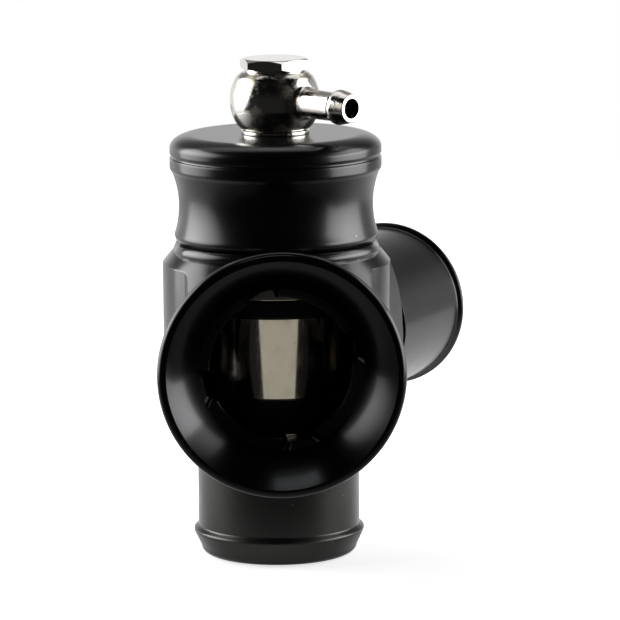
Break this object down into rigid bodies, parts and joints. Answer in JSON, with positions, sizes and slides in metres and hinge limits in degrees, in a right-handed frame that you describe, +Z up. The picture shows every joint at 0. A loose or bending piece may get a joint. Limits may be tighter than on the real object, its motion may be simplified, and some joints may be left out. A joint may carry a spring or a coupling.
{
  "type": "blow off valve",
  "caption": "Dual-port turbo blow off valve: billet body, sprung piston, vent trumpet, return outlet, hose inlet and swivelling banjo nipple.",
  "frame": {"origin": "on the ground plane, under the middle of the valve's outline seen from above; the valve stands on the nose of its inlet", "axes": "+Z up along the piston's axis; -Y out of the vent trumpet; the return outlet points between +Y and +X"},
  "size_m": [0.076, 0.1108, 0.1171],
  "materials": {
    "black_anodised_satin": "satin",
    "black_anodised_gloss": "gloss",
    "piston_nickel": "polished, fine scratches",
    "cast_nickel": "bright nickel plate over cast brass",
    "bolt_nickel": "bright plated",
    "spring_steel": "drawn wire",
    "black_rubber": "matt",
    "guide_plastic": "matt"
  },
  "bodies": {
    "valve_body": {"body": "black_anodised_satin", "cap": "black_anodised_gloss", "cap_seal_ring": "black_rubber", "trumpet": "black_anodised_gloss", "trumpet_seal_ring": "black_rubber", "outlet_spigot": "black_anodised_satin", "outlet_seal_ring": "black_rubber", "inlet_spigot": "black_anodised_satin", "inlet_seal_ring": "black_rubber", "upper_spring_seat": "spring_steel", "banjo_bolt": "bolt_nickel", "banjo_upper_washer": "bolt_nickel", "banjo_lower_washer": "bolt_nickel"},
    "piston_assembly": {"piston": "piston_nickel", "piston_upper_band": "guide_plastic", "piston_lower_band": "guide_plastic", "piston_seal_ring": "black_rubber", "piston_face_seal": "black_rubber", "piston_spring": "spring_steel", "lower_spring_seat": "spring_steel"},
    "banjo": {"banjo_fitting": "cast_nickel"}
  },
  "joints": [
    {"name": "piston_lift", "type": "slide", "parent": "valve_body", "child": "piston_assembly", "axis": [0, 0, 1], "range_m": [0, 0.0125], "stiffness_N_per_m": 3000, "springref_m": -0.01, "deforming": ["piston_spring"]},
    {"name": "banjo_swivel", "type": "hinge", "parent": "valve_body", "child": "banjo", "pos_m": [-0.00935, -0.01629, 0.1073], "axis": [0, 0, 1], "continuous": true}
  ]
}
